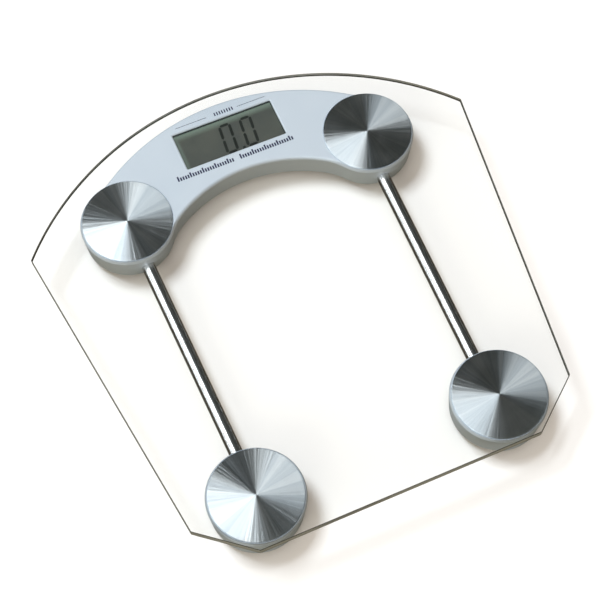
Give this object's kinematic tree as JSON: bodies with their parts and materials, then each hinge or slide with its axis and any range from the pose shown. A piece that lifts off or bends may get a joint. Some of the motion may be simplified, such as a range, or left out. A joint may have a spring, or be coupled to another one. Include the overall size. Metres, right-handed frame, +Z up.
{
  "type": "bathroom scale",
  "caption": "Digital bathroom scale: clear glass platform on round load-cell pods, an arched display housing in front and tubes that carry the wires to the rear pods.",
  "frame": {"origin": "centre of the outline at floor level, under the feet", "axes": "+Z up, +Y towards the display end, +X to the reader's right"},
  "size_m": [0.33, 0.33, 0.033],
  "materials": {
    "platform_glass": "clear polished",
    "bond_adhesive": "clear",
    "spun_metal": "fine circular spin finish",
    "case_plastic": "satin, pale silver blue",
    "base_plastic": "fine moulded texture",
    "bright_tube": "polished",
    "carrier_plastic": "moulded",
    "cell_steel": "ground",
    "gauge_silicone": "matt",
    "screw_steel": "zinc plated",
    "foot_plastic": "moulded",
    "foot_rubber": "matt, fine ribs",
    "window_acrylic": "polished",
    "display_crystal": "polariser film",
    "frame_plastic": "moulded",
    "strip_rubber": "banded",
    "board_laminate": "solder mask",
    "chip_resin": "glob top",
    "capacitor_body": "fired",
    "sensor_can": "plated",
    "knob_plastic": "moulded",
    "cell_can": "nickel",
    "contact_metal": "plated spring",
    "lead_sleeve": "smooth sleeve"
  },
  "bodies": {
    "scale_body": {"glass_platform": "platform_glass", "bond_films": "bond_adhesive", "disc_front_left": "spun_metal", "disc_front_right": "spun_metal", "disc_rear_left": "spun_metal", "disc_rear_right": "spun_metal", "display_housing": "case_plastic", "rear_pod_left": "case_plastic", "rear_pod_right": "case_plastic", "housing_base": "base_plastic", "rear_base_left": "base_plastic", "rear_base_right": "base_plastic", "tube_left": "bright_tube", "tube_right": "bright_tube", "cell_carrier_front_left": "carrier_plastic", "cell_carrier_front_right": "carrier_plastic", "cell_carrier_rear_left": "carrier_plastic", "cell_carrier_rear_right": "carrier_plastic", "load_cell_front_left": "cell_steel", "load_cell_front_right": "cell_steel", "load_cell_rear_left": "cell_steel", "load_cell_rear_right": "cell_steel", "gauge_patches": "gauge_silicone", "disc_screws": "screw_steel", "board_screws": "screw_steel", "housing_screws": "screw_steel", "rear_base_screws": "screw_steel", "display_window": "window_acrylic", "display_glass": "display_crystal", "display_frame": "frame_plastic", "connector_strip": "strip_rubber", "circuit_board": "board_laminate", "controller_blob": "chip_resin", "board_capacitors": "capacitor_body", "tap_sensor": "sensor_can", "unit_switch_body": "sensor_can", "coin_cell": "cell_can", "centre_contact": "contact_metal", "rim_contact": "contact_metal", "front_lead_left": "lead_sleeve", "front_lead_right": "lead_sleeve", "rear_lead_left": "lead_sleeve", "rear_lead_right": "lead_sleeve"},
    "foot_unit_front_left": {"foot_front_left": "foot_plastic", "foot_pad_front_left": "foot_rubber"},
    "foot_unit_front_right": {"foot_front_right": "foot_plastic", "foot_pad_front_right": "foot_rubber"},
    "foot_unit_rear_left": {"foot_rear_left": "foot_plastic", "foot_pad_rear_left": "foot_rubber"},
    "foot_unit_rear_right": {"foot_rear_right": "foot_plastic", "foot_pad_rear_right": "foot_rubber"},
    "battery_door": {"battery_door": "base_plastic"},
    "unit_switch": {"unit_switch_knob": "knob_plastic"}
  },
  "joints": [
    {"name": "foot_travel_front_left", "type": "slide", "parent": "scale_body", "child": "foot_unit_front_left", "axis": [0, 0, 1], "range_m": [0, 0.0005], "stiffness_N_per_m": 1000000, "deforming": ["load_cell_front_left"]},
    {"name": "foot_travel_front_right", "type": "slide", "parent": "scale_body", "child": "foot_unit_front_right", "axis": [0, 0, 1], "range_m": [0, 0.0005], "stiffness_N_per_m": 1000000, "deforming": ["load_cell_front_right"]},
    {"name": "foot_travel_rear_left", "type": "slide", "parent": "scale_body", "child": "foot_unit_rear_left", "axis": [0, 0, 1], "range_m": [0, 0.0005], "stiffness_N_per_m": 1000000, "deforming": ["load_cell_rear_left"]},
    {"name": "foot_travel_rear_right", "type": "slide", "parent": "scale_body", "child": "foot_unit_rear_right", "axis": [0, 0, 1], "range_m": [0, 0.0005], "stiffness_N_per_m": 1000000, "deforming": ["load_cell_rear_right"]},
    {"name": "battery_door_slide", "type": "slide", "parent": "scale_body", "child": "battery_door", "axis": [0, 1, 0], "range_m": [0, 0.02]},
    {"name": "unit_switch_slide", "type": "slide", "parent": "scale_body", "child": "unit_switch", "axis": [1, 0, 0], "range_m": [0, 0.002]}
  ]
}
